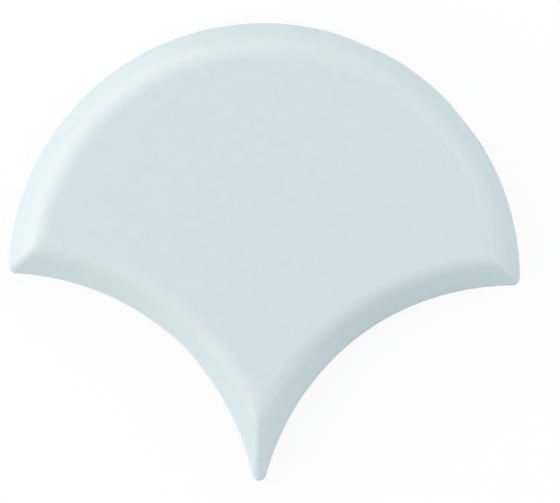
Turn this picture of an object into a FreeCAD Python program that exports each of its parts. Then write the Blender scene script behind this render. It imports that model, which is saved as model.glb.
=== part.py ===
"""A fish scale wall tile: one pressed and fired ceramic piece, lying on its back.

The plan is a round head and two hollow flanks that nest the heads of the next row of tiles. A wide
bevel falls from the flat face to a low wall all round, with mitres at the two shoulders and at the tip.
The back is sunk inside a flat rim and keeps level ribs, which key it to its bed of adhesive.
The origin is the centre of the round head, on the back plane. +Y points to the head, +Z out of the face.
"""
import FreeCAD, Part
import math
import os

import Sketcher

NODE = "fish_scale_tile"
START, END, CENTRE = range(1, 4)
H_AXIS, V_AXIS = range(-1, -3, -1)
ORIGIN_POINT = (H_AXIS, START)

# Driving sizes in millimetres, and one angle in degrees
SIZES = (
    ("head_radius", 60.0, "round head, half the tile's width"),
    ("flank_radius", 60.0, "hollow flanks, which nest the neighbours' heads"),
    ("corner_radius", 2.0, "rounding of the two shoulders in plan"),
    ("tip_radius", 1.75, "rounding of the tip in plan"),
    ("thickness", 8.0, "back plane to flat face"),
    ("wall_height", 4.6, "back plane to the foot of the bevel"),
    ("bevel_width", 6.5, "width of the bevel in plan"),
    ("brow_radius", 6.5, "soft turn from the bevel to the face"),
    ("arris_radius", 0.6, "rounding where the bevel meets the wall"),
    ("foot_chamfer", 0.6, "broken edge of the back"),
    ("rim_width", 5.0, "flat rim round the keyed back"),
    ("recess_depth", 0.6, "depth of the keyed back"),
    ("rib_width", 3.0, "width of a key rib"),
    ("rib_pitch", 9.0, "spacing of the key ribs"),
    ("head_sweep", 200.0, "turn of the cut that bevels the head, in degrees"),
    ("cut_margin", 2.0, "how far a cutting profile stands clear of the blank"),
)

doc = FreeCAD.newDocument(NODE)
sheet = doc.addObject("Spreadsheet::Sheet", "sizes")
for row, (alias, value, note) in enumerate(SIZES, start=1):
    sheet.set(f"A{row}", alias)
    sheet.set(f"B{row}", str(value))
    sheet.set(f"C{row}", note)
    sheet.setAlias(f"B{row}", alias)
doc.recompute()


def worked_out(formula):
    """The number that a formula of the sheet's sizes gives now."""
    return float(sheet.evalExpression(formula))


# Sketches and their dimensions
def origin_plane(body, role):
    """One of the body's own origin planes, by its role."""
    return next(item for item in body.Origin.OriginFeatures if item.Role == role)


def new_sketch(body, name, role):
    """An empty sketch on one of the body's origin planes."""
    sketch = body.newObject("Sketcher::SketchObject", name)
    sketch.AttachmentSupport = [(origin_plane(body, role), "")]
    sketch.MapMode = "FlatFace"
    return sketch


def dimension(sketch, name, kind, where, formula):
    """A named dimension of a sketch, bound to the sheet."""
    index = sketch.addConstraint(Sketcher.Constraint(kind, *where, worked_out(formula)))
    sketch.renameConstraint(index, name)
    sketch.setExpression(f"Constraints.{name}", formula)


def place_point(sketch, name, point, across, up):
    """Holds a point of a sketch at two distances from the sketch's origin."""
    dimension(sketch, name + "_across", "DistanceX", (*ORIGIN_POINT, *point), across)
    dimension(sketch, name + "_up", "DistanceY", (*ORIGIN_POINT, *point), up)


def flat(across, up):
    """A point of a sketch's plane."""
    return FreeCAD.Vector(across, up, 0)


def flipped(point):
    """The same point on the other side of the centre line."""
    return flat(-point.x, point.y)


def along(start, goal, distance):
    """The point at a distance from start, on the line to goal."""
    return start + (goal - start).normalize() * distance


def arc(centre, begin, finish):
    """An arc about a centre, anticlockwise from one point to another."""
    first = begin - centre
    last = finish - centre
    circle = Part.Circle(centre, FreeCAD.Vector(0, 0, 1), first.Length)
    return Part.ArcOfCircle(circle, math.atan2(first.y, first.x), math.atan2(last.y, last.x))


def shoulder(head, flank_centre, flank):
    """The upper right crossing of a circle about the head's centre and one about a flank's centre."""
    apart = flank_centre.Length
    reach = (head ** 2 - flank ** 2 + apart ** 2) / (2 * apart)
    rise = math.sqrt(head ** 2 - reach ** 2)
    way = flank_centre / apart
    return way * reach + flat(-way.y, way.x) * rise


def hold_flanks(sketch, right, left, radius):
    """Dimensions that two flank arcs share: radius, place and likeness."""
    dimension(sketch, "flank", "Radius", (right,), radius)
    place_point(sketch, "flank_centre", (right, CENTRE), "sizes.flank_radius", "-sizes.flank_radius")
    sketch.addConstraint(Sketcher.Constraint("Equal", right, left))
    sketch.addConstraint(Sketcher.Constraint("Symmetric", right, CENTRE, left, CENTRE, V_AXIS))


def draw_outline(sketch):
    """The tile's plan: head, two shoulders, two flanks and tip, each tangent to the next."""
    head_radius = worked_out("sizes.head_radius")
    flank_radius = worked_out("sizes.flank_radius")
    corner_radius = worked_out("sizes.corner_radius")
    tip_radius = worked_out("sizes.tip_radius")
    middle = flat(0, 0)
    flank_centre = flat(flank_radius, -flank_radius)
    corner_centre = shoulder(head_radius - corner_radius, flank_centre, flank_radius + corner_radius)
    tip_drop = math.sqrt((flank_radius + tip_radius) ** 2 - flank_radius ** 2)
    tip_centre = flat(0, tip_drop - flank_radius)
    head_end = along(middle, corner_centre, head_radius)
    flank_top = along(flank_centre, corner_centre, flank_radius)
    flank_foot = along(flank_centre, tip_centre, flank_radius)

    head = sketch.addGeometry(arc(middle, head_end, flipped(head_end)))
    left_corner = sketch.addGeometry(arc(flipped(corner_centre), flipped(head_end), flipped(flank_top)))
    left_flank = sketch.addGeometry(arc(flipped(flank_centre), flipped(flank_foot), flipped(flank_top)))
    tip = sketch.addGeometry(arc(tip_centre, flipped(flank_foot), flank_foot))
    right_flank = sketch.addGeometry(arc(flank_centre, flank_top, flank_foot))
    right_corner = sketch.addGeometry(arc(corner_centre, flank_top, head_end))

    joins = (
        (head, END, left_corner, START),
        (left_corner, END, left_flank, END),
        (left_flank, START, tip, START),
        (tip, END, right_flank, END),
        (right_flank, START, right_corner, START),
        (right_corner, END, head, START),
    )
    for join in joins:
        sketch.addConstraint(Sketcher.Constraint("Tangent", *join))
    sketch.addConstraint(Sketcher.Constraint("Coincident", head, CENTRE, *ORIGIN_POINT))
    dimension(sketch, "head", "Radius", (head,), "sizes.head_radius")
    dimension(sketch, "corner", "Radius", (right_corner,), "sizes.corner_radius")
    dimension(sketch, "tip", "Radius", (tip,), "sizes.tip_radius")
    sketch.addConstraint(Sketcher.Constraint("Equal", right_corner, left_corner))
    hold_flanks(sketch, right_flank, left_flank, "sizes.flank_radius")


def draw_recess(sketch):
    """The keyed field of the back: the plan drawn in by the rim, with plain corners."""
    head_radius = worked_out("sizes.head_radius - sizes.rim_width")
    flank_radius = worked_out("sizes.flank_radius + sizes.rim_width")
    flank_reach = worked_out("sizes.flank_radius")
    middle = flat(0, 0)
    flank_centre = flat(flank_reach, -flank_reach)
    corner = shoulder(head_radius, flank_centre, flank_radius)
    point = flat(0, math.sqrt(flank_radius ** 2 - flank_reach ** 2) - flank_reach)

    head = sketch.addGeometry(arc(middle, corner, flipped(corner)))
    left_flank = sketch.addGeometry(arc(flipped(flank_centre), point, flipped(corner)))
    right_flank = sketch.addGeometry(arc(flank_centre, corner, point))

    joins = (
        (head, END, left_flank, END),
        (left_flank, START, right_flank, END),
        (right_flank, START, head, START),
    )
    for join in joins:
        sketch.addConstraint(Sketcher.Constraint("Coincident", *join))
    sketch.addConstraint(Sketcher.Constraint("Coincident", head, CENTRE, *ORIGIN_POINT))
    dimension(sketch, "head", "Radius", (head,), "sizes.head_radius - sizes.rim_width")
    hold_flanks(sketch, right_flank, left_flank, "sizes.flank_radius + sizes.rim_width")


def draw_bevel(sketch, foot_across, brow_across):
    """The profile that a bevel cuts away: a triangle whose long side runs from its foot to its brow."""
    margin = worked_out("sizes.cut_margin")
    foot = flat(worked_out(foot_across), worked_out("sizes.wall_height"))
    brow = flat(worked_out(brow_across), worked_out("sizes.thickness"))
    slope = (brow.y - foot.y) / (brow.x - foot.x)
    outside = foot.x + math.copysign(margin, foot.x - brow.x)
    top = brow.y + margin
    low = flat(outside, foot.y + (outside - foot.x) * slope)
    high = flat(brow.x + margin / slope, top)
    corner = flat(outside, top)

    fall = sketch.addGeometry(Part.LineSegment(low, high))
    lid = sketch.addGeometry(Part.LineSegment(high, corner))
    side = sketch.addGeometry(Part.LineSegment(corner, low))
    foot_point = sketch.addGeometry(Part.Point(foot), True)
    brow_point = sketch.addGeometry(Part.Point(brow), True)

    for join in ((fall, END, lid, START), (lid, END, side, START), (side, END, fall, START)):
        sketch.addConstraint(Sketcher.Constraint("Coincident", *join))
    sketch.addConstraint(Sketcher.Constraint("Horizontal", lid))
    sketch.addConstraint(Sketcher.Constraint("Vertical", side))
    place_point(sketch, "foot", (foot_point, START), foot_across, "sizes.wall_height")
    place_point(sketch, "brow", (brow_point, START), brow_across, "sizes.thickness")
    for point in (foot_point, brow_point):
        sketch.addConstraint(Sketcher.Constraint("PointOnObject", point, START, fall))
    outward = ((foot_point, START), (side, START))
    if foot.x < brow.x:
        outward = outward[::-1]
    dimension(sketch, "clear_of_wall", "DistanceX", (*outward[0], *outward[1]), "sizes.cut_margin")
    dimension(sketch, "clear_of_face", "DistanceY", (brow_point, START, lid, START), "sizes.cut_margin")


def draw_rib(sketch, lowest, half_length):
    """A strip across the keyed field, where its lowest rib stays."""
    reach = worked_out(half_length)
    foot = worked_out(f"{lowest} - sizes.rib_width / 2")
    head = worked_out(f"{lowest} + sizes.rib_width / 2")
    corners = (flat(-reach, foot), flat(reach, foot), flat(reach, head), flat(-reach, head))
    sides = []
    for begin, finish in zip(corners, corners[1:] + corners[:1]):
        sides.append(sketch.addGeometry(Part.LineSegment(begin, finish)))
    for side, following in zip(sides, sides[1:] + sides[:1]):
        sketch.addConstraint(Sketcher.Constraint("Coincident", side, END, following, START))
    bottom, right, top, left = sides
    for side in (bottom, top):
        sketch.addConstraint(Sketcher.Constraint("Horizontal", side))
    for side in (right, left):
        sketch.addConstraint(Sketcher.Constraint("Vertical", side))
    place_point(sketch, "right_foot", (bottom, END), half_length, f"{lowest} - sizes.rib_width / 2")
    dimension(sketch, "length", "DistanceX", (bottom, START, bottom, END), f"2 * {half_length}")
    dimension(sketch, "width", "DistanceY", (right, START, right, END), "sizes.rib_width")


# Features
def settle(feature):
    """Recomputes the document and returns the feature's shape, which has to be sound."""
    doc.recompute()
    if feature.Shape.isNull() or not feature.Shape.isValid():
        raise RuntimeError(f"{feature.Name} has no sound shape")
    return feature.Shape


def require_cut(before, feature):
    """Stops the build where a cut took nothing away."""
    if settle(feature).Volume >= before.Volume:
        raise RuntimeError(f"{feature.Name} cuts nothing")


def add_pad(body, sketch, name, formula):
    """Pads a sketch up from its plane."""
    pad = body.newObject("PartDesign::Pad", name)
    pad.Profile = sketch
    pad.setExpression("Length", formula)
    settle(pad)
    return pad


def edges_between(shape, first, second):
    """Names of the edges where one kind of surface meets another."""
    names = []
    for index, edge in enumerate(shape.Edges, start=1):
        kinds = {type(face.Surface) for face in shape.ancestorsOfType(edge, Part.Face)}
        if kinds == {first, second}:
            names.append(f"Edge{index}")
    return names


def soften(body, base, name, kind, first, second, **bound):
    """Rounds or chamfers every edge of base between two kinds of surface."""
    feature = body.newObject(kind, name)
    feature.Base = (base, edges_between(base.Shape, first, second))
    for key, formula in bound.items():
        feature.setExpression(key, formula)
    require_cut(base.Shape, feature)
    return feature


def build_key_recess():
    """The body that is sunk into the back: the keyed field, less its ribs."""
    body = doc.addObject("PartDesign::Body", "key_recess")
    outline = new_sketch(body, "recess_outline", "XY_Plane")
    draw_recess(outline)
    field = add_pad(body, outline, "keyed_field", "sizes.recess_depth")

    # Ribs stand on whole steps of the pitch from the head's centre, half a pitch or more inside the field
    field_top = "sizes.head_radius - sizes.rim_width"
    flank_reach = "(sizes.flank_radius + sizes.rim_width)"
    field_foot = f"sizes.flank_radius - sqrt({flank_reach} ^ 2 - sizes.flank_radius ^ 2)"
    ribs_above = f"floor(({field_top}) / sizes.rib_pitch - 0.5)"
    ribs_below = f"floor(({field_foot}) / sizes.rib_pitch - 0.5)"
    strip = new_sketch(body, "rib_strip", "XY_Plane")
    draw_rib(strip, f"-{ribs_below} * sizes.rib_pitch", "(sizes.head_radius + sizes.cut_margin)")
    rib = body.newObject("PartDesign::Pocket", "lowest_rib")
    rib.Profile = strip
    rib.Type = "ThroughAll"
    rib.Midplane = True
    require_cut(field.Shape, rib)
    single = rib.Shape

    ribs = body.newObject("PartDesign::LinearPattern", "ribs")
    ribs.Originals = [rib]
    ribs.Direction = (strip, ["V_Axis"])
    ribs.Mode = "Spacing"
    ribs.setExpression("Offset", "sizes.rib_pitch")
    ribs.setExpression("Occurrences", f"{ribs_above} + {ribs_below} + 1")
    body.Tip = ribs
    require_cut(single, ribs)
    return body


def build_tile():
    """The tile: blank, three bevels, softened edges and the keyed back."""
    body = doc.addObject("PartDesign::Body", NODE)
    body.Label = NODE
    body.Placement = FreeCAD.Placement()
    plan = new_sketch(body, "plan", "XY_Plane")
    draw_outline(plan)
    blank = add_pad(body, plan, "blank", "sizes.thickness")

    head_profile = new_sketch(body, "head_profile", "YZ_Plane")
    draw_bevel(head_profile, "sizes.head_radius", "sizes.head_radius - sizes.bevel_width")
    head_bevel = body.newObject("PartDesign::Groove", "head_bevel")
    head_bevel.Profile = head_profile
    head_bevel.ReferenceAxis = (head_profile, ["V_Axis"])
    head_bevel.Midplane = True
    head_bevel.setExpression("Angle", "sizes.head_sweep")
    require_cut(blank.Shape, head_bevel)
    headed = head_bevel.Shape

    flank_profile = new_sketch(body, "flank_profile", "XZ_Plane")
    flank_profile.setExpression("AttachmentOffset.Base.x", "sizes.flank_radius")
    flank_profile.setExpression("AttachmentOffset.Base.z", "sizes.flank_radius")
    draw_bevel(flank_profile, "sizes.flank_radius", "sizes.flank_radius + sizes.bevel_width")
    flank_bevel = body.newObject("PartDesign::Groove", "right_flank_bevel")
    flank_bevel.Profile = flank_profile
    flank_bevel.ReferenceAxis = (flank_profile, ["V_Axis"])
    flank_bevel.Angle = 360
    require_cut(headed, flank_bevel)
    one_flank = flank_bevel.Shape

    bevels = body.newObject("PartDesign::Mirrored", "left_flank_bevel")
    bevels.Originals = [flank_bevel]
    bevels.MirrorPlane = (origin_plane(body, "YZ_Plane"), [""])
    body.Tip = bevels
    require_cut(one_flank, bevels)

    fillet, chamfer = "PartDesign::Fillet", "PartDesign::Chamfer"
    brow = soften(body, bevels, "brow", fillet, Part.Plane, Part.Cone, Radius="sizes.brow_radius")
    arris = soften(body, brow, "arris", fillet, Part.Cylinder, Part.Cone, Radius="sizes.arris_radius")
    foot = soften(body, arris, "foot", chamfer, Part.Plane, Part.Cylinder, Size="sizes.foot_chamfer")

    keyed = body.newObject("PartDesign::Boolean", "keyed_back")
    keyed.Type = "Cut"
    keyed.setObjects([build_key_recess()])
    require_cut(foot.Shape, keyed)
    return body


tile = build_tile()
doc.recompute()
for item in doc.Objects:
    if "Invalid" in item.State or "Error" in item.State:
        raise RuntimeError(f"{item.Name} failed: {item.State}")
if tile.Shape.isNull() or not tile.Shape.isValid() or len(tile.Shape.Solids) != 1:
    raise RuntimeError(f"{tile.Label} is not one sound solid")
os.makedirs("parts", exist_ok=True)
tile.Shape.exportStep(f"parts/{tile.Label}.step")
box = tile.Shape.optimalBoundingBox(False, False)
print(f"{tile.Label}: {box.XLength:.2f} x {box.YLength:.2f} x {box.ZLength:.2f} mm, "
      f"{tile.Shape.Volume / 1000:.2f} cm3, {len(tile.Shape.Faces)} faces")
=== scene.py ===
"""The looks of one fish scale wall tile: pale blue glaze on a pressed body, lying on its back."""
import logging
import math
from dataclasses import dataclass, field
from enum import IntEnum

import bpy
import numpy as np
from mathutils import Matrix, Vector
from mathutils.geometry import tessellate_polygon


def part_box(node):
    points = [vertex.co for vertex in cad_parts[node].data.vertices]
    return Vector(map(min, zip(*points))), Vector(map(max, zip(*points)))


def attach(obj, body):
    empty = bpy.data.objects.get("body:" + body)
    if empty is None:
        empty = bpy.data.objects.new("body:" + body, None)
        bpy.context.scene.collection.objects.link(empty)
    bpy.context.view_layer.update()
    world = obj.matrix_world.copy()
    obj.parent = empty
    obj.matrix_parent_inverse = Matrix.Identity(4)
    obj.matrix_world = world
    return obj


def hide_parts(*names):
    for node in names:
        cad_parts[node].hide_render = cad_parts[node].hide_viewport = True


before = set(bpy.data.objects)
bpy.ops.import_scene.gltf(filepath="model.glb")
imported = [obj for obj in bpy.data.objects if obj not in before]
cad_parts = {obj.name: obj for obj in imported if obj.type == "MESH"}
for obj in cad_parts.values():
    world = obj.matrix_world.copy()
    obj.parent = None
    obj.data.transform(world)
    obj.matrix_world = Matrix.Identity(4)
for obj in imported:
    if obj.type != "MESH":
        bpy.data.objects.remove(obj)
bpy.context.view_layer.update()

LOG = logging.getLogger("fish_scale_tile")
NODE = "fish_scale_tile"
BODY = "root"
DEPTH = "edge_depth"
# Mesh attribute: how much gathered glaze and painted shade each point has.
POOL_AND_SHADE = "glaze_pool_and_shade"
MM = 0.001
SHORTEST = 1e-12

Colour = tuple[float, float, float]
WHITE: Colour = (1.0, 1.0, 1.0)
WARM_WHITE: Colour = (1.0, 0.935, 0.875)
SOFT_WHITE: Colour = (1.0, 0.975, 0.945)


class Coat(IntEnum):
    """What a face of the tile wears, by its place in the piece's list of materials."""

    GLAZE = 0
    BISCUIT = 1


class Facing(IntEnum):
    """Which way a face of the tile looks, as the sign of Z."""

    UP = 1
    DOWN = -1


@dataclass(frozen=True)
class Straight:
    """A straight stretch of a plan outline."""

    start: tuple[float, float]
    end: tuple[float, float]

    @property
    def length(self) -> float:
        """Length of the stretch."""
        return math.dist(self.start, self.end)

    def points(self, share: np.ndarray) -> np.ndarray:
        """Points at shares of the length, one row each."""
        return np.array(self.start) + np.outer(share, np.subtract(self.end, self.start))


@dataclass(frozen=True)
class Arc:
    """A round stretch of a plan outline: centre, radius, first angle and signed sweep (radians)."""

    centre: tuple[float, float]
    radius: float
    start: float
    sweep: float

    @property
    def length(self) -> float:
        """Length of the stretch."""
        return self.radius * abs(self.sweep)

    def points(self, share: np.ndarray) -> np.ndarray:
        """Points at shares of the length, one row each."""
        angle = self.start + self.sweep * share
        return np.array(self.centre) + self.radius * np.column_stack([np.cos(angle), np.sin(angle)])

    def mirrored(self) -> "Arc":
        """The stretch on the other side of the centre line, run through backwards."""
        turned = math.pi - self.start - self.sweep
        return Arc((-self.centre[0], self.centre[1]), self.radius, turned, self.sweep)


Stretch = Straight | Arc


def walk(stretches: list[Arc], share: np.ndarray) -> np.ndarray:
    """Points along a chain of stretches.

    Args:
        stretches: The stretches, end to end.
        share: Shares of the whole length, from 0 to 1.

    Returns:
        Plan points, one row each.
    """
    ends = np.cumsum([stretch.length for stretch in stretches])
    place = share * ends[-1]
    found = np.minimum(np.searchsorted(ends, place), len(stretches) - 1)
    points = np.empty((len(share), 2))
    for index, stretch in enumerate(stretches):
        here = found == index
        begun = ends[index] - stretch.length
        points[here] = stretch.points((place[here] - begun) / max(stretch.length, SHORTEST))
    return points


def heading(start: np.ndarray, goal: np.ndarray) -> float:
    """Angle of the way from one plan point to another, in radians."""
    return math.atan2(goal[1] - start[1], goal[0] - start[0])


def soft_least(first: np.ndarray, second: np.ndarray, width: float) -> np.ndarray:
    """The lesser of two distances, with the turn between them rounded off.

    Args:
        first: Distances to one line.
        second: Distances to another line.
        width: How far apart the two may be and still blend.

    Returns:
        The blended distances, never above the lesser one.
    """
    blend = np.maximum(width - np.abs(first - second), 0.0)
    return np.minimum(first, second) - blend ** 2 / (4 * width)


@dataclass(frozen=True)
class FlatSpot:
    """A place where the pressed edge stands in from its true line."""

    place: tuple[float, float]
    reach: float
    sunk: float

    def amounts(self, points: np.ndarray) -> np.ndarray:
        """How far the edge stands in at plan points, one amount each."""
        away = np.linalg.norm(points - np.array(self.place), axis=1)
        return self.sunk * np.exp(-0.5 * (away / self.reach) ** 2)


@dataclass(frozen=True)
class TilePlan:
    """The tile's outline: a round head, two hollow flanks, and rounded shoulders and tip."""

    head_radius: float
    flank_radius: float
    corner_radius: float = 2.0 * MM
    tip_radius: float = 1.75 * MM
    shoulder_softness: float = 1.6 * MM
    tip_softness: float = 2.5 * MM
    flat_spots: tuple[FlatSpot, ...] = (
        FlatSpot((22.5 * MM, 55.6 * MM), 3.2 * MM, 0.28 * MM),
        FlatSpot((46.0 * MM, 38.6 * MM), 3.0 * MM, 0.20 * MM),
        FlatSpot((25.6 * MM, -10.9 * MM), 13.0 * MM, 0.20 * MM),
        FlatSpot((-28.2 * MM, -9.1 * MM), 12.0 * MM, 0.20 * MM),
        FlatSpot((-18.3 * MM, -16.8 * MM), 4.5 * MM, 0.34 * MM),
    )
    flat_width: float = 4.0 * MM
    head_points: int = 264
    flank_points: int = 150
    crowding: float = 0.86

    @property
    def flank_centre(self) -> np.ndarray:
        """Centre of the right flank's circle."""
        return np.array([self.flank_radius, -self.flank_radius])

    @property
    def innermost(self) -> np.ndarray:
        """The point that lies deepest in from the outline, on the centre line.

        Returns:
            Its plan point.
        """
        flank = self.flank_radius
        both = self.head_radius + flank
        return np.array([0.0, (both ** 2 - 2 * flank ** 2) / (2 * (both + flank))])

    @property
    def deepest(self) -> float:
        """How far in from the outline that point lies."""
        return self.head_radius - float(self.innermost[1])

    def shoulder(self, inset: float) -> np.ndarray:
        """Where the head's and the right flank's circles cross, both drawn in.

        Args:
            inset: How far both are drawn in.

        Returns:
            The crossing's plan point, at the shoulder.
        """
        head = self.head_radius - inset
        flank = self.flank_radius + inset
        apart = float(np.hypot(*self.flank_centre))
        reach = (head ** 2 - flank ** 2 + apart ** 2) / (2 * apart)
        rise = math.sqrt(head ** 2 - reach ** 2)
        way = self.flank_centre / apart
        return way * reach + np.array([-way[1], way[0]]) * rise

    def tip(self, inset: float) -> np.ndarray:
        """Where the two flanks' circles cross on the centre line, both drawn in."""
        rise = math.sqrt((self.flank_radius + inset) ** 2 - self.flank_radius ** 2)
        return np.array([0.0, rise - self.flank_radius])

    def shares(self, count: int) -> np.ndarray:
        """Shares of one side's length, crowded towards the corners at its two ends.

        Args:
            count: How many points the side has, its last not counted.

        Returns:
            Rising shares from 0, short of 1.
        """
        even = np.arange(count) / count
        return even - self.crowding * np.sin(math.tau * even) / math.tau

    def ring(self, inset: float) -> np.ndarray:
        """The outline drawn in by a distance, anticlockwise from the middle of the right shoulder.

        Args:
            inset: Distance in from the outline.

        Returns:
            Plan points, one row each: the head's, the left flank's and the right flank's.
        """
        corner = self.shoulder(max(inset, self.corner_radius))
        point = self.tip(max(inset, self.tip_radius))
        corner_left = max(self.corner_radius - inset, 0.0)
        tip_left = max(self.tip_radius - inset, 0.0)
        flank_radius = self.flank_radius + inset
        head_turn = heading(np.zeros(2), corner)
        flank_turn = heading(corner, self.flank_centre)
        tip_turn = heading(point, self.flank_centre)
        middle_turn = (head_turn + flank_turn) / 2

        half_corner = Arc(tuple(corner), corner_left, middle_turn, head_turn - middle_turn)
        head = [
            half_corner,
            Arc((0.0, 0.0), self.head_radius - inset, head_turn, math.pi - 2 * head_turn),
            half_corner.mirrored(),
        ]
        flank = [
            Arc(tuple(point), tip_left, -math.pi / 2, tip_turn + math.pi / 2),
            Arc(tuple(self.flank_centre), flank_radius, tip_turn + math.pi, flank_turn - tip_turn),
            Arc(tuple(corner), corner_left, flank_turn, middle_turn - flank_turn),
        ]
        head_side = walk(head, self.shares(self.head_points))
        up_flank = self.shares(self.flank_points)
        left_side = walk(flank, 1 - up_flank) * [-1, 1]
        true = np.vstack([head_side, left_side, walk(flank, up_flank)])
        return self.flattened(true, max(1 - inset / self.flat_width, 0.0))

    def flattened(self, ring: np.ndarray, share: float) -> np.ndarray:
        """A ring with its flat spots, drawn in square to the ring.

        Args:
            ring: Plan points of a true ring, anticlockwise.
            share: How much of the flat spots' depth shows on it.

        Returns:
            Plan points, one row each.
        """
        along = np.roll(ring, -1, axis=0) - np.roll(ring, 1, axis=0)
        along /= np.linalg.norm(along, axis=1)[:, None]
        inward = np.column_stack([-along[:, 1], along[:, 0]])
        sunk = sum(spot.amounts(ring) for spot in self.flat_spots)
        return ring + inward * (sunk * share)[:, None]

    def reaches(self, points: np.ndarray) -> tuple[np.ndarray, np.ndarray]:
        """How far plan points lie in from the head and from the flanks.

        Args:
            points: Plan points, one row each.

        Returns:
            Distances from the head's circle and the nearer flank's, softened at the tip's mitre.
        """
        head = self.head_radius - np.hypot(points[:, 0], points[:, 1])
        across = np.abs(points[:, 0])
        up = points[:, 1] - self.flank_centre[1]
        near = np.hypot(across - self.flank_centre[0], up) - self.flank_radius
        far = np.hypot(across + self.flank_centre[0], up) - self.flank_radius
        return head, soft_least(near, far, self.tip_softness)

    def depth(self, points: np.ndarray) -> np.ndarray:
        """How deep plan points lie in from the outline, with the mitres softened.

        Args:
            points: Plan points, one row each.

        Returns:
            A depth for each point.
        """
        head, flanks = self.reaches(points)
        return soft_least(head, flanks, self.shoulder_softness)

    def flank_share(self, points: np.ndarray) -> np.ndarray:
        """How far plan points belong to the flanks.

        Args:
            points: Plan points, one row each.

        Returns:
            For each point 1 on a flank's side of a mitre, 0 on the head's, between at the mitre.
        """
        head, flanks = self.reaches(points)
        return np.clip(0.5 + (head - flanks) / (2 * self.shoulder_softness), 0.0, 1.0)


@dataclass(frozen=True)
class EdgeSection:
    """The tile's edge in section: wall, arris, bevel and brow, up to the flat face."""

    thickness: float
    wall_height: float = 4.6 * MM
    bevel_width: float = 6.5 * MM
    left_brow: float = 9.8 * MM
    right_brow: float = 5.6 * MM
    arris_radius: float = 0.8 * MM
    arris_steps: int = 9
    bevel_steps: int = 12
    brow_steps: int = 30
    face_steps: int = 10

    @property
    def slope(self) -> float:
        """Tilt of the bevel, in radians."""
        return math.atan2(self.thickness - self.wall_height, self.bevel_width)

    def brow_end(self, radius: np.ndarray | float) -> np.ndarray | float:
        """Depth in from the outline at which a brow of some radius is level with the face."""
        return self.bevel_width + radius * math.tan(self.slope / 2)

    def brow_start(self, radius: np.ndarray | float) -> np.ndarray | float:
        """Depth in from the outline at which the bevel turns into a brow of some radius."""
        return self.brow_end(radius) - radius * math.sin(self.slope)

    @property
    def arris_end(self) -> float:
        """Depth in from the outline at which the arris has turned into the bevel."""
        return self.arris_radius * (1 - math.sin(self.slope))

    def height(self, plan: TilePlan, points: np.ndarray) -> np.ndarray:
        """Height of the bevel, brow and face over the back plane.

        Args:
            plan: The tile's outline.
            points: Plan points, one row each.

        Returns:
            A height for each point, with the arris still sharp.
        """
        depth = plan.depth(points)
        rightward = (1 + points[:, 0] / plan.head_radius) / 2
        radius = self.left_brow + (self.right_brow - self.left_brow) * rightward
        bevel = self.wall_height + depth * math.tan(self.slope)
        from_level = np.clip(self.brow_end(radius) - depth, 0.0, radius)
        brow = self.thickness - radius + np.sqrt(radius ** 2 - from_level ** 2)
        return np.where(depth < self.brow_start(radius), bevel, brow)

    def arris_drop(self, inset: float) -> float:
        """How far the rounded arris lies below the bevel's own line.

        Args:
            inset: Distance in from the outline.

        Returns:
            The drop, which is nothing past the end of the arris.
        """
        if inset >= self.arris_end:
            return 0.0
        radius = self.arris_radius
        axis = radius * math.tan(self.slope) - radius / math.cos(self.slope)
        return inset * math.tan(self.slope) - axis - math.sqrt(radius ** 2 - (radius - inset) ** 2)

    def insets(self, deepest: float) -> np.ndarray:
        """Where the rings of the top lie, from the arris to close by the innermost point.

        Args:
            deepest: Depth of the innermost point.

        Returns:
            Rising distances in from the outline.
        """
        turn = np.linspace(0.0, math.pi / 2 - self.slope, self.arris_steps)
        arris = self.arris_radius * (1 - np.cos(turn))
        widest = max(self.left_brow, self.right_brow)
        start, end = self.brow_start(widest), self.brow_end(widest)
        bevel = np.linspace(self.arris_end, start, self.bevel_steps)[1:]
        brow = np.linspace(start, end, self.brow_steps)[1:]
        face = np.geomspace(end, deepest, self.face_steps)[1:-1]
        return np.concatenate([arris, bevel, brow, face])


@dataclass(frozen=True)
class GlazeLine:
    """The glaze's lower edge on the wall: a thin rolled lip that wanders, with bare body below."""

    height: float = 1.9 * MM
    coat: float = 0.2 * MM
    lip: float = 0.3 * MM
    swings: tuple[tuple[int, float, float], ...] = (
        (4, 0.28 * MM, 0.4),
        (9, 0.20 * MM, 2.1),
        (21, 0.11 * MM, 4.4),
        (47, 0.05 * MM, 1.3),
    )
    lip_steps: int = 5

    def heights(self, ring: np.ndarray) -> np.ndarray:
        """Height of the glaze's edge along a ring.

        Args:
            ring: Plan points of the closed outline.

        Returns:
            A height for each point. The swings are whole turns, so the line closes on itself.
        """
        steps = np.linalg.norm(np.roll(ring, -1, axis=0) - ring, axis=1)
        share = (np.cumsum(steps) - steps) / steps.sum()
        line = np.full(len(ring), self.height)
        for turns, swing, phase in self.swings:
            line += swing * np.sin(math.tau * turns * share + phase)
        return line


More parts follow.
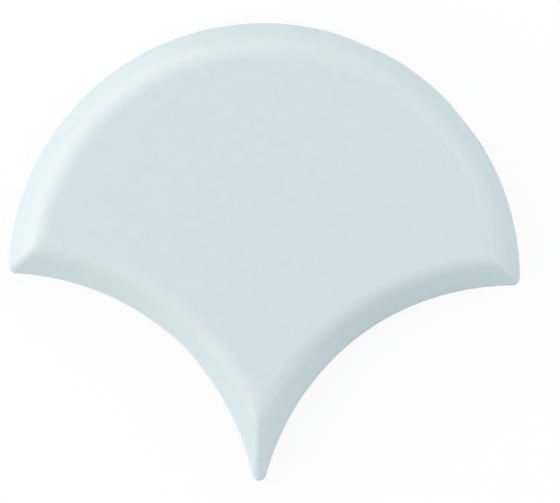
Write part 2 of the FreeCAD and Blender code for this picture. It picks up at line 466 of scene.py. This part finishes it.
@dataclass(frozen=True)
class GlazePoolAndShade:
    """Deeper colour down the bevels, most on the right flank: gathered glaze and painted shade.

    The head, the left flank and the right flank's crest and tip each have an amount from 0 to 1,
    which fades out towards an edge's depth. The foot is a gain along the right flank's arris, and
    the rim an amount more along the head's. On the flanks the thin glaze lies further in.
    """

    head: float = 0.308
    left: float = 0.50
    # The right flank is the side away from the key lamps: its deeper colour is mostly painted
    # shade.
    right_crest: float = 0.70
    right_tip: float = 0.32
    # Painted shade along the right flank's arris.
    foot: float = 0.38
    foot_width: float = 1.9 * MM
    rim: float = 0.32
    rim_width: float = 0.9 * MM
    head_edge: float = 5.6 * MM
    head_fade: float = 3.0 * MM
    flank_edge: float = 6.5 * MM
    flank_fade: float = 2.4 * MM
    length: float = 38.0 * MM
    seam: float = 4.0 * MM
    lag: float = 0.45 * MM
    lag_run: float = 4.0 * MM

    def depths(self, plan: TilePlan, ring: np.ndarray, inset: float) -> np.ndarray:
        """How deep in from the edge the glaze of a ring lies, as it thins further in on the flanks.

        Args:
            plan: The tile's outline.
            ring: Plan points, one row each.
            inset: How far the ring is drawn in.

        Returns:
            A depth for each point.
        """
        depth = np.minimum(plan.depth(ring), inset)
        return depth - self.lag * plan.flank_share(ring) * np.clip(depth / self.lag_run, 0.0, 1.0)

    def amounts(self, plan: TilePlan, points: np.ndarray) -> np.ndarray:
        """How much gathered glaze and painted shade lies at plan points.

        Args:
            plan: The tile's outline.
            points: Plan points, one row each.

        Returns:
            An amount from 0 to 1 for each point.
        """
        depth = plan.depth(points)
        flank = plan.flank_share(points)
        downward = np.clip(-points[:, 1] / self.length, 0.0, 1.0)
        rightward = np.clip(0.5 + points[:, 0] / self.seam, 0.0, 1.0)
        right = self.right_crest + (self.right_tip - self.right_crest) * downward
        right *= 1 + self.foot * np.clip(1 - depth / self.foot_width, 0.0, 1.0)
        on_flank = self.left + (right - self.left) * rightward
        on_flank *= np.clip((self.flank_edge - depth) / self.flank_fade, 0.0, 1.0)
        on_head = self.head * np.clip((self.head_edge - depth) / self.head_fade, 0.0, 1.0)
        on_head += self.rim * np.clip(1 - depth / self.rim_width, 0.0, 1.0)
        return on_head + (on_flank - on_head) * flank


@dataclass
class Skin:
    """One closed mesh, gathered loop by loop, with each face's coat and each point's glaze and
    painted shade.
    """

    points: list[np.ndarray] = field(default_factory=list)
    depths: list[np.ndarray] = field(default_factory=list)
    pools_and_shade: list[np.ndarray] = field(default_factory=list)
    faces: list[tuple[int, ...]] = field(default_factory=list)
    coats: list[Coat] = field(default_factory=list)
    flats: list[bool] = field(default_factory=list)
    count: int = 0

    def loop(
        self,
        plan: np.ndarray,
        height: np.ndarray | float,
        depth: np.ndarray | float = 0.0,
        pool_and_shade: np.ndarray | float = 0.0,
    ) -> np.ndarray:
        """Adds the points of a loop.

        Args:
            plan: Plan points, one row each.
            height: One height, or one for each point.
            depth: One depth in from the outline, or one for each point.
            pool_and_shade: One amount of gathered glaze and painted shade, or one for each point.

        Returns:
            The points' numbers in the mesh.
        """
        rows = len(plan)
        self.points.append(np.column_stack([plan, np.broadcast_to(height, rows)]))
        self.depths.append(np.array(np.broadcast_to(depth, rows)))
        self.pools_and_shade.append(np.array(np.broadcast_to(pool_and_shade, rows)))
        self.count += rows
        return np.arange(self.count - rows, self.count)

    def face(self, corners: tuple[int, ...], coat: Coat, flat: bool, facing: Facing) -> None:
        """Adds one face.

        Args:
            corners: Numbers of its corners, anticlockwise as seen from above.
            coat: What it wears.
            flat: Whether it is shaded flat.
            facing: Which way it looks.
        """
        self.faces.append(tuple(int(corner) for corner in corners[::facing]))
        self.coats.append(coat)
        self.flats.append(flat)

    def band(
        self,
        outer: np.ndarray,
        inner: np.ndarray,
        coat: Coat,
        facing: Facing = Facing.UP,
    ) -> None:
        """Joins two loops of as many points by a band of smooth faces.

        Args:
            outer: Numbers of the outer or lower loop.
            inner: Numbers of the inner or upper loop.
            coat: What the band wears.
            facing: Which way it looks.
        """
        for here, after in zip(range(len(outer)), np.roll(range(len(outer)), -1)):
            self.face((outer[here], outer[after], inner[after], inner[here]), coat, False, facing)

    def fan(self, ring: np.ndarray, middle: int, coat: Coat) -> None:
        """Closes a ring of the top to its middle point with smooth faces."""
        for here, after in zip(ring, np.roll(ring, -1)):
            self.face((here, after, middle), coat, False, Facing.UP)

    def fill(self, loops: list[np.ndarray], coat: Coat, facing: Facing) -> None:
        """Fills a level field with flat faces.

        Args:
            loops: Numbers of the outer loop, then of each hole's loop.
            coat: What the field wears.
            facing: Which way it looks.
        """
        numbers = np.concatenate(loops)
        places = np.vstack(self.points)[:, :2] / MM
        outlines = [[Vector((*places[number], 0.0)) for number in loop] for loop in loops]
        for corners in tessellate_polygon(outlines):
            first, second, third = places[numbers[list(corners)]]
            turn = np.cross(second - first, third - first)
            ordered = numbers[list(corners if turn > 0 else corners[::-1])]
            self.face(tuple(ordered), coat, True, facing)

    def to_object(self, name: str) -> bpy.types.Object:
        """Makes the mesh object.

        Args:
            name: The piece's name.

        Returns:
            The new object, in the scene.
        """
        mesh = bpy.data.meshes.new(name)
        mesh.from_pydata(np.vstack(self.points).tolist(), [], self.faces)
        mesh.polygons.foreach_set("material_index", np.array(self.coats, dtype=np.int32))
        mesh.polygons.foreach_set("use_smooth", ~np.array(self.flats))
        for attribute, values in ((DEPTH, self.depths), (POOL_AND_SHADE, self.pools_and_shade)):
            layer = mesh.attributes.new(attribute, "FLOAT", "POINT")
            layer.data.foreach_set("value", np.concatenate(values).astype(np.float32))
        mesh.validate()
        mesh.update()
        piece = bpy.data.objects.new(name, mesh)
        bpy.context.scene.collection.objects.link(piece)
        return piece


@dataclass(frozen=True)
class KeyedBack:
    """The pressed back: a flat rim and level ribs, with shallow pockets sunk between them."""

    plan: TilePlan
    rim_width: float = 5.0 * MM
    recess_depth: float = 0.6 * MM
    rib_width: float = 3.0 * MM
    rib_pitch: float = 9.0 * MM
    edge_room: float = 0.5
    corner_reach: float = 1.2 * MM
    corner_share: float = 0.35
    corner_steps: int = 5
    spacing: float = 1.2 * MM
    fewest_points: int = 4
    draft: float = 0.5 * MM
    wall_steps: int = 7

    @property
    def rib_heights(self) -> np.ndarray:
        """Heights in plan of the ribs, on whole pitches with some room to the field's top and foot.

        Returns:
            The height of each rib's middle, rising.
        """
        above = (self.plan.head_radius - self.rim_width) / self.rib_pitch
        below = -float(self.plan.tip(self.rim_width)[1]) / self.rib_pitch
        lowest = -math.floor(below - self.edge_room)
        highest = math.floor(above - self.edge_room)
        return self.rib_pitch * np.arange(lowest, highest + 1)

    def right_side(self, low: float, high: float, inset: float) -> list[Arc]:
        """The right-hand edge of the keyed field between two heights, from the lower to the upper.

        Args:
            low: Lower height in plan.
            high: Upper height in plan.
            inset: How far the field is drawn in from the rim.

        Returns:
            The flank's stretch, the head's, or both with the shoulder between them.
        """
        edge = self.rim_width + inset
        head = self.plan.head_radius - edge
        flank = self.plan.flank_radius + edge
        middle = self.plan.flank_centre
        bend = float(self.plan.shoulder(edge)[1])
        sides = []
        if low < bend:
            rises = ((y - middle[1]) / flank for y in (low, min(high, bend)))
            start, end = (math.pi - math.asin(rise) for rise in rises)
            sides.append(Arc(tuple(middle), flank, start, end - start))
        if high > bend:
            start, end = (math.asin(y / head) for y in (max(low, bend), high))
            sides.append(Arc((0.0, 0.0), head, start, end - start))
        return sides

    def pocket_sides(self, low: float | None, high: float | None, inset: float) -> list[Stretch]:
        """The outline of one pocket, anticlockwise.

        Args:
            low: Height in plan of the rib below, or None in the tip's pocket.
            high: Height in plan of the rib above, or None in the crown's pocket.
            inset: How far the outline is drawn in.

        Returns:
            The pocket's sides, with a corner between each and the next.
        """
        edge = self.rim_width + inset
        bottom = self.plan.tip(edge)[1] if low is None else low + inset
        crown = self.plan.head_radius - edge
        top = crown if high is None else high - inset
        right = self.right_side(bottom, top, inset)
        left = [side.mirrored() for side in reversed(right)]
        sides: list[Stretch] = []
        if low is not None:
            start = right[0].points(np.zeros(1))[0]
            sides.append(Straight((-start[0], bottom), (start[0], bottom)))
        if high is None:
            arch = right.pop()
            left.pop(0)
            right.append(Arc(arch.centre, arch.radius, arch.start, math.pi - 2 * arch.start))
            return sides + right + left
        end = right[-1].points(np.ones(1))[0]
        return sides + right + [Straight((end[0], top), (-end[0], top))] + left

    def points_along(self, side: Stretch) -> int:
        """How many points a side of a pocket needs: a straight one only its ends."""
        needed = max(self.fewest_points, math.ceil(side.length / self.spacing))
        return 2 if isinstance(side, Straight) else needed

    def rounded(self, sides: list[Stretch], counts: list[int]) -> np.ndarray:
        """A closed loop along some sides, with its corners rounded off.

        Args:
            sides: The sides, end to end.
            counts: How many points each side gets between its corners.

        Returns:
            Plan points, one row each.
        """
        turn = np.linspace(0.0, 1.0, self.corner_steps + 2)[1:-1, None]
        trims = [min(self.corner_reach / side.length, self.corner_share) for side in sides]
        runs = []
        for side, trim, count in zip(sides, trims, counts):
            runs.append(side.points(np.linspace(trim, 1 - trim, count)))
        loop = []
        for side, run, after in zip(sides, runs, runs[1:] + runs[:1]):
            corner = side.points(np.ones(1))
            loop.append(run)
            leaving = (1 - turn) ** 2 * run[-1:]
            turning = 2 * turn * (1 - turn) * corner
            loop.append(leaving + turning + turn ** 2 * after[:1])
        return np.vstack(loop)

    def sink(self, skin: Skin) -> list[np.ndarray]:
        """Adds every pocket's wall and floor to the skin.

        Args:
            skin: The tile's mesh.

        Returns:
            Numbers of each pocket's loop on the back plane, for the rim and the ribs to meet.
        """
        ribs = self.rib_heights
        lows = [None, *(ribs + self.rib_width / 2)]
        highs = [*(ribs - self.rib_width / 2), None]
        turn = np.linspace(0.0, 1.0, self.wall_steps)
        drawn_in = self.draft * turn
        sunk = self.recess_depth * turn ** 2 * (3 - 2 * turn)
        mouths = []
        for low, high in zip(lows, highs):
            counts = [self.points_along(side) for side in self.pocket_sides(low, high, 0.0)]
            loops = []
            for inset, height in zip(drawn_in, sunk):
                outline = self.rounded(self.pocket_sides(low, high, float(inset)), counts)
                loops.append(skin.loop(outline, height))
            for outer, inner in zip(loops, loops[1:]):
                skin.band(outer, inner, Coat.BISCUIT, Facing.DOWN)
            skin.fill(loops[-1:], Coat.BISCUIT, Facing.DOWN)
            mouths.append(loops[0])
        return mouths


@dataclass(frozen=True)
class Clouds:
    """Soft noise in the tile's own frame, in patches of about one size.

    Noise at the start and below comes out low, at the end and above high, and even between them.
    """

    size: float
    detail: float = 2.0
    low: float = 0.0
    high: float = 1.0
    start: float = 0.0
    end: float = 1.0


class Bench:
    """One node tree, with short ways to lay out and join its nodes."""

    def __init__(self, tree: bpy.types.NodeTree) -> None:
        """Clears the tree and keeps it."""
        self.tree = tree
        tree.nodes.clear()

    @classmethod
    def for_material(cls, name: str) -> tuple["Bench", bpy.types.Material]:
        """Starts a new material.

        Args:
            name: The material's name.

        Returns:
            The bench on its tree, and the material.
        """
        material = bpy.data.materials.new(name)
        material.use_nodes = True
        return cls(material.node_tree), material

    def node(
        self,
        kind: str,
        inputs: dict[str | int, object] | None = None,
        **settings: object,
    ) -> bpy.types.Node:
        """Adds a node.

        Args:
            kind: Blender's name for it.
            inputs: Values for its sockets, or other nodes' sockets to join to them.
            settings: Its own properties.

        Returns:
            The new node.
        """
        node = self.tree.nodes.new(kind)
        for key, value in settings.items():
            setattr(node, key, value)
        for key, value in (inputs or {}).items():
            if isinstance(value, bpy.types.NodeSocket):
                self.tree.links.new(value, node.inputs[key])
            else:
                node.inputs[key].default_value = value
        return node

    def sums(self, operation: str, first: object, second: object) -> bpy.types.NodeSocket:
        """A sum of two values: Blender's name for the operation, and numbers or sockets."""
        return self.node("ShaderNodeMath", {0: first, 1: second}, operation=operation).outputs[0]

    def attribute(self, name: str) -> bpy.types.NodeSocket:
        """A value that each point of the mesh carries under a name."""
        return self.node("ShaderNodeAttribute", attribute_name=name).outputs["Fac"]

    def mix(
        self,
        share: object,
        first: object,
        second: object,
        how: str = "MIX",
    ) -> bpy.types.NodeSocket:
        """A mix of two colours.

        Args:
            share: How much of the second, a number or a socket.
            first: A colour or a socket.
            second: A colour or a socket.
            how: Blender's name for the way of mixing.

        Returns:
            The mixed colour's socket.
        """
        colours = [(*c, 1.0) if isinstance(c, tuple) else c for c in (first, second)]
        inputs = {0: share, 6: colours[0], 7: colours[1]}
        return self.node("ShaderNodeMix", inputs, data_type="RGBA", blend_type=how).outputs[2]

    def place(self) -> bpy.types.NodeSocket:
        """Where a point lies in the tile's own frame, in metres."""
        return self.node("ShaderNodeTexCoord").outputs["Object"]

    def noise(self, clouds: Clouds) -> bpy.types.NodeSocket:
        """The clouds' bare noise from 0 to 1, not stretched."""
        inputs = {"Vector": self.place(), "Scale": 1 / clouds.size, "Detail": clouds.detail}
        return self.node("ShaderNodeTexNoise", inputs).outputs[0]

    def clouds(self, clouds: Clouds) -> bpy.types.NodeSocket:
        """The clouds' noise, stretched between their levels."""
        return self.spread(self.noise(clouds), clouds.low, clouds.high, clouds.start, clouds.end)

    def bump(self, height: bpy.types.NodeSocket, distance: float) -> bpy.types.NodeSocket:
        """A normal that follows a height from 0 to 1, which stands for a distance in metres."""
        return self.node("ShaderNodeBump", {"Height": height, "Distance": distance}).outputs[0]

    def light(self, kind: str, colour: Colour, strength: float) -> bpy.types.NodeSocket:
        """A shader that gives out light: Blender's name for it, its colour and its strength."""
        return self.node(kind, {"Color": (*colour, 1.0), "Strength": strength}).outputs[0]

    def blend(self, share: object, first: object, second: object) -> bpy.types.NodeSocket:
        """A mix of two shaders, by how much of the second shows."""
        return self.node("ShaderNodeMixShader", {0: share, 1: first, 2: second}).outputs[0]

    def spread(
        self,
        value: object,
        low: float,
        high: float,
        start: float = 0.0,
        end: float = 1.0,
    ) -> bpy.types.NodeSocket:
        """Stretches a value between two limits.

        Args:
            value: The value's socket.
            low: What comes out at start and below.
            high: What comes out at end and above.
            start: Lower limit of the value.
            end: Upper limit of the value.

        Returns:
            The stretched value's socket.
        """
        inputs = {"Value": value, "From Min": start, "From Max": end, "To Min": low, "To Max": high}
        return self.node("ShaderNodeMapRange", inputs).outputs[0]

    def ramp(self, value: object, stops: list[tuple[float, float]]) -> bpy.types.NodeSocket:
        """A grey level that follows a curve through stops.

        Args:
            value: The value's socket, from 0 to 1.
            stops: Places from 0 to 1, each with its grey level.

        Returns:
            The level's socket.
        """
        node = self.node("ShaderNodeValToRGB", {0: value})
        ramp = node.color_ramp
        ramp.interpolation = "CARDINAL"
        while len(ramp.elements) < len(stops):
            ramp.elements.new(0.5)
        for element, (place, level) in zip(ramp.elements, stops):
            element.position = place
            element.color = (level, level, level, 1.0)
        return node.outputs[0]

    def finish(self, shader: bpy.types.NodeSocket, kind: str = "ShaderNodeOutputMaterial") -> None:
        """Joins the finished shader to the tree's output."""
        self.node(kind, {"Surface": shader})


@dataclass(frozen=True)
class GlazeFinish:
    """Pale blue gloss glaze: full on the face and bevel's foot, thin over the brow with a painted
    highlight.
    """

    full: Colour = (0.608, 0.711, 0.751)
    # Paler colour where the glaze is thin: partly real thin glaze, partly a painted highlight on
    # the brow and arris.
    thin_and_highlight: Colour = (0.648, 0.724, 0.751)
    # Deeper colour of gathered glaze, which also carries the painted shade.
    pooled_and_shaded: Colour = (0.508, 0.612, 0.652)
    ior: float = 1.52
    span: float = 12.0 * MM
    # Glaze fullness by depth in from the edge; its dips at the arris and the brow also paint a
    # highlight there.
    thickness: tuple[tuple[float, float], ...] = (
        (0.0 * MM, 0.32),
        (0.8 * MM, 0.64),
        (2.2 * MM, 0.62),
        (4.2 * MM, 0.12),
        (5.6 * MM, 0.04),
        (6.6 * MM, 0.32),
        (7.8 * MM, 0.78),
        (11.6 * MM, 0.94),
    )
    roughness: Clouds = Clouds(18.0 * MM, low=0.19, high=0.25)
    drift: Clouds = Clouds(18.0 * MM, low=-0.08, high=0.08)
    mottle: Clouds = Clouds(2.2 * MM, detail=4.0, low=0.989, high=1.011, start=0.3, end=0.7)
    ripple: Clouds = Clouds(4.5 * MM, detail=1.0)
    ripple_height: float = 0.012 * MM

    def material(self) -> bpy.types.Material:
        """Makes the glaze.

        Returns:
            A material that reads each point's depth in from the outline, and its gathered glaze and
            painted shade.
        """
        bench, material = Bench.for_material("pale_blue_glaze")
        inward = bench.spread(bench.attribute(DEPTH), 0.0, 1.0, end=self.span)
        level = bench.ramp(inward, [(place / self.span, level) for place, level in self.thickness])
        lies = bench.sums("ADD", level, bench.clouds(self.drift))
        # Thin glaze with its painted highlight over the brow and arris, full glaze elsewhere.
        tint = bench.mix(lies, self.thin_and_highlight, self.full)
        # Deeper colour where glaze gathered, plus painted shade, most on the right flank.
        tint = bench.mix(bench.attribute(POOL_AND_SHADE), tint, self.pooled_and_shaded)
        glaze = bench.node("ShaderNodeBsdfPrincipled", {
            "Base Color": bench.mix(1.0, tint, bench.clouds(self.mottle), "MULTIPLY"),
            "Roughness": bench.clouds(self.roughness),
            "IOR": self.ior,
            "Normal": bench.bump(bench.noise(self.ripple), self.ripple_height),
        })
        bench.finish(glaze.outputs[0])
        return material


@dataclass(frozen=True)
class BiscuitFinish:
    """Bare fired body: warm off-white, matt and finely grained."""

    body: Colour = (0.72, 0.65, 0.54)
    shade: Colour = (0.58, 0.49, 0.38)
    speck: Colour = (0.40, 0.31, 0.22)
    wash: Colour = (0.80, 0.77, 0.71)
    roughness: float = 0.85
    patches: Clouds = Clouds(22.0 * MM, detail=3.0, high=0.6, start=0.35, end=0.75)
    grain: Clouds = Clouds(0.7 * MM, detail=5.0, high=0.5, start=0.52, end=0.75)
    specks: Clouds = Clouds(1.1 * MM, detail=1.0, high=0.8, start=0.72, end=0.80)
    wash_patches: Clouds = Clouds(5.0 * MM, detail=6.0, low=0.15, high=0.85, start=0.35, end=0.65)
    wash_rise: float = 0.3 * MM
    grain_height: float = 0.05 * MM

    def material(self) -> bpy.types.Material:
        """Makes the biscuit.

        Returns:
            A material with kiln wash left on what stood on the shelf, and sparse dark specks.
        """
        bench, material = Bench.for_material("bare_biscuit")
        colour = bench.mix(bench.clouds(self.patches), self.body, self.shade)
        colour = bench.mix(bench.clouds(self.grain), colour, self.shade)
        rise = bench.node("ShaderNodeSeparateXYZ", {0: bench.place()}).outputs["Z"]
        stood = bench.spread(rise, 1.0, 0.0, end=self.wash_rise)
        washed = bench.sums("MULTIPLY", stood, bench.clouds(self.wash_patches))
        colour = bench.mix(washed, colour, self.wash)
        colour = bench.mix(bench.clouds(self.specks), colour, self.speck)
        body = bench.node("ShaderNodeBsdfPrincipled", {
            "Base Color": colour,
            "Roughness": self.roughness,
            "Normal": bench.bump(bench.noise(self.grain), self.grain_height),
        })
        bench.finish(body.outputs[0])
        return material


@dataclass
class FishScaleTile:
    """The whole tile: glazed face, bevel and wall, bare foot and keyed back, in one closed skin."""

    plan: TilePlan
    section: EdgeSection
    line: GlazeLine
    pool_and_shade: GlazePoolAndShade
    back: KeyedBack
    glaze: GlazeFinish
    biscuit: BiscuitFinish
    foot: float = 0.6 * MM
    foot_round: float = 0.06 * MM
    wall_steps: int = 4

    def build(self) -> bpy.types.Object:
        """Makes the tile's mesh, from the back plane up to the middle of the face.

        Returns:
            The tile's object, not yet dressed.
        """
        skin = Skin()
        mouths = self.back.sink(skin)
        bare = self.build_foot(skin)
        skin.fill([bare[0], *mouths], Coat.BISCUIT, Facing.DOWN)
        rim = self.build_wall(skin, bare[-1])
        self.build_top(skin, rim)
        return skin.to_object("glazed_tile")

    def build_foot(self, skin: Skin) -> list[np.ndarray]:
        """Adds the broken edge of the back and the bare wall over it.

        Args:
            skin: The tile's mesh.

        Returns:
            Numbers of the loops, from the back plane to the glaze's edge.
        """
        coat = self.line.coat
        soft = self.foot_round
        steps = (
            (coat + self.foot + soft, 0.0),
            (coat + self.foot - soft, soft / 2),
            (coat + soft / 2, self.foot - soft),
            (coat, self.foot + soft),
        )
        loops = [skin.loop(self.plan.ring(inset), height) for inset, height in steps]
        ring = self.plan.ring(coat)
        loops.append(skin.loop(ring, self.line.heights(ring)))
        for lower, upper in zip(loops, loops[1:]):
            skin.band(lower, upper, Coat.BISCUIT)
        return loops

    def build_wall(self, skin: Skin, lower: np.ndarray) -> np.ndarray:
        """Adds the glaze's rolled lip and the glazed wall.

        Args:
            skin: The tile's mesh.
            lower: Numbers of the loop at the glaze's edge.

        Returns:
            Numbers of the loop at the foot of the arris.
        """
        outline = self.plan.ring(0.0)
        edge = self.line.heights(self.plan.ring(self.line.coat))
        top = self.section.height(self.plan, outline) - self.section.arris_drop(0.0)
        for turn in np.linspace(0.0, math.pi / 2, self.line.lip_steps)[1:]:
            ring = self.plan.ring(self.line.coat * (1 - math.sin(turn)))
            upper = skin.loop(ring, edge + self.line.lip * (1 - math.cos(turn)))
            skin.band(lower, upper, Coat.GLAZE)
            lower = upper
        for share in np.linspace(0.0, 1.0, self.wall_steps + 1)[1:]:
            upper = skin.loop(outline, (edge + self.line.lip) * (1 - share) + top * share)
            skin.band(lower, upper, Coat.GLAZE)
            lower = upper
        return lower

    def build_top(self, skin: Skin, lower: np.ndarray) -> None:
        """Adds the arris, the bevel, the brow and the face.

        Args:
            skin: The tile's mesh.
            lower: Numbers of the loop at the foot of the arris.
        """
        for inset in self.section.insets(self.plan.deepest)[1:]:
            ring = self.plan.ring(float(inset))
            height = self.section.height(self.plan, ring) - self.section.arris_drop(float(inset))
            depth = self.pool_and_shade.depths(self.plan, ring, float(inset))
            # Each ring carries its depth and its amount of gathered glaze and painted shade.
            upper = skin.loop(ring, height, depth, self.pool_and_shade.amounts(self.plan, ring))
            skin.band(lower, upper, Coat.GLAZE)
            lower = upper
        middle = skin.loop(self.plan.innermost[None, :], self.section.thickness, self.plan.deepest)
        skin.fan(lower, middle[0], Coat.GLAZE)

    def dress(self, piece: bpy.types.Object) -> None:
        """Gives the tile its glaze and its bare body, and puts it in the place of its solid.

        Args:
            piece: The tile's object.
        """
        piece.data.materials.append(self.glaze.material())
        piece.data.materials.append(self.biscuit.material())
        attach(piece, BODY)
        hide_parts(NODE)


@dataclass(frozen=True)
class Softbox:
    """A soft studio lamp, aimed at the tile from an azimuth and an elevation in degrees.

    One without glints lights the tile but doesn't show in its glaze, where it would glare.
    """

    name: str
    azimuth: float
    elevation: float
    size: tuple[float, float]
    power: float
    colour: Colour = WHITE
    glints: bool = True
    distance: float = 1.2

    def build(self) -> bpy.types.Object:
        """Makes the lamp.

        Returns:
            The lamp's object, which the camera doesn't see.
        """
        data = bpy.data.lights.new(self.name, "AREA")
        data.shape = "RECTANGLE"
        data.size, data.size_y = self.size
        data.energy = self.power
        data.color = self.colour
        lamp = bpy.data.objects.new(self.name, data)
        turn, rise = math.radians(self.azimuth), math.radians(self.elevation)
        level = math.cos(rise)
        way = Vector((level * math.cos(turn), level * math.sin(turn), math.sin(rise)))
        lamp.location = way * self.distance
        lamp.rotation_euler = way.to_track_quat("Z", "Y").to_euler()
        lamp.visible_camera = False
        lamp.visible_glossy = self.glints
        bpy.context.scene.collection.objects.link(lamp)
        return lamp


@dataclass(frozen=True)
class LightTent:
    """A white tent round the tile: even soft light, and white to the camera and in reflections."""

    level: float = 0.4155
    colour: Colour = (0.842, 0.918, 1.0)

    def build(self) -> None:
        """Makes the world."""
        world = bpy.data.worlds.new("light_tent")
        world.use_nodes = True
        bpy.context.scene.world = world
        bench = Bench(world.node_tree)
        path = bench.node("ShaderNodeLightPath").outputs
        seen = bench.sums("MAXIMUM", path["Is Camera Ray"], path["Is Transmission Ray"])
        seen = bench.sums("MAXIMUM", seen, path["Is Glossy Ray"])
        soft = bench.light("ShaderNodeBackground", self.colour, self.level)
        white = bench.light("ShaderNodeBackground", WHITE, 1.0)
        bench.finish(bench.blend(seen, soft, white), "ShaderNodeOutputWorld")


@dataclass(frozen=True)
class PaleFloor:
    """The plain white table: it keeps a faint shadow, and has a window below the tile's back."""

    plan: TilePlan
    half_width: float = 3.0
    window_inset: float = 2.0 * MM
    drop: float = 0.02 * MM
    paint: Colour = (0.95, 0.95, 0.95)
    glow: float = 0.86

    def build(self) -> bpy.types.Object:
        """Makes the floor.

        Returns:
            The floor's object.
        """
        edge = np.array([(-1, -1), (1, -1), (1, 1), (-1, 1)]) * self.half_width
        window = self.plan.ring(self.window_inset)
        loops = [[Vector((*point, -self.drop)) for point in loop] for loop in (edge, window)]
        mesh = bpy.data.meshes.new("pale_floor")
        mesh.from_pydata(loops[0] + loops[1], [], tessellate_polygon(loops))
        floor = bpy.data.objects.new("pale_floor", mesh)
        bpy.context.scene.collection.objects.link(floor)
        bench, material = Bench.for_material("white_table")
        paint = bench.node("ShaderNodeBsdfDiffuse", {"Color": (*self.paint, 1.0)})
        white = bench.light("ShaderNodeEmission", WHITE, 1.0)
        seen = bench.node("ShaderNodeLightPath").outputs["Is Camera Ray"]
        share = bench.sums("MULTIPLY", seen, self.glow)
        bench.finish(bench.blend(share, paint.outputs[0], white))
        mesh.materials.append(material)
        return floor


@dataclass(frozen=True)
class OverheadCamera:
    """A camera straight over the tile, framed as in the photograph."""

    aim: tuple[float, float] = (3.64 * MM, 6.61 * MM)
    plane: float = 4.2 * MM
    distance: float = 1.6
    field_width: float = 131.1 * MM
    roll: float = 1.404
    sensor: float = 36.0
    reach: float = 10.0

    def build(self) -> bpy.types.Object:
        """Makes the camera and gives it to the scene.

        Returns:
            The camera's object.
        """
        data = bpy.data.cameras.new("overhead_camera")
        data.sensor_width = self.sensor
        data.lens = self.sensor * self.distance / self.field_width
        data.clip_end = self.reach
        camera = bpy.data.objects.new("overhead_camera", data)
        camera.location = (*self.aim, self.plane + self.distance)
        camera.rotation_euler = (0.0, 0.0, math.radians(self.roll))
        bpy.context.scene.collection.objects.link(camera)
        bpy.context.scene.camera = camera
        return camera


def main() -> None:
    """Builds the tile, then the studio round it, and notes the sizes."""
    logging.basicConfig(level=logging.INFO, format="%(message)s")
    bpy.context.scene.view_settings.view_transform = "Standard"
    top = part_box(NODE)[1]
    plan = TilePlan(head_radius=top[1], flank_radius=top[1])
    tile = FishScaleTile(
        plan=plan,
        section=EdgeSection(thickness=top[2]),
        line=GlazeLine(),
        pool_and_shade=GlazePoolAndShade(),
        back=KeyedBack(plan),
        glaze=GlazeFinish(),
        biscuit=BiscuitFinish(),
    )
    piece = tile.build()
    tile.dress(piece)
    mesh = piece.data
    LOG.info("%s: %d points, %d faces", piece.name, len(mesh.vertices), len(mesh.polygons))

    lamps = (
        Softbox("left_key", 150, 30, (1.5, 1.0), power=3.18, colour=WARM_WHITE),
        Softbox("front_left_key", 205, 32, (1.1, 0.9), power=2.32, colour=WARM_WHITE),
        Softbox("low_back_left", 125, 16, (1.4, 0.35), power=4.5, colour=WARM_WHITE, glints=False),
        Softbox("low_left", 195, 16, (1.2, 0.35), power=9.6, colour=WARM_WHITE, glints=False),
        Softbox("low_right", 8, 20, (1.1, 0.45), power=4.45, colour=SOFT_WHITE, glints=False),
        Softbox("high_right", 5, 55, (1.1, 0.6), power=2.33, colour=SOFT_WHITE),
        Softbox("low_back", 80, 20, (0.9, 0.45), power=2.1, colour=SOFT_WHITE, glints=False),
        Softbox("front_right", 330, 42, (0.62, 0.5), power=1.05, colour=SOFT_WHITE),
        Softbox("under_key", 115, -35, (1.2, 0.6), power=10.0),
        Softbox("under_fill", 300, -45, (1.0, 0.6), power=3.0),
    )
    for lamp in lamps:
        LOG.info("lamp %s", lamp.build().name)
    LightTent().build()
    LOG.info("floor %s", PaleFloor(plan).build().name)
    LOG.info("camera %s", OverheadCamera().build().name)


if __name__ == "__main__":
    main()
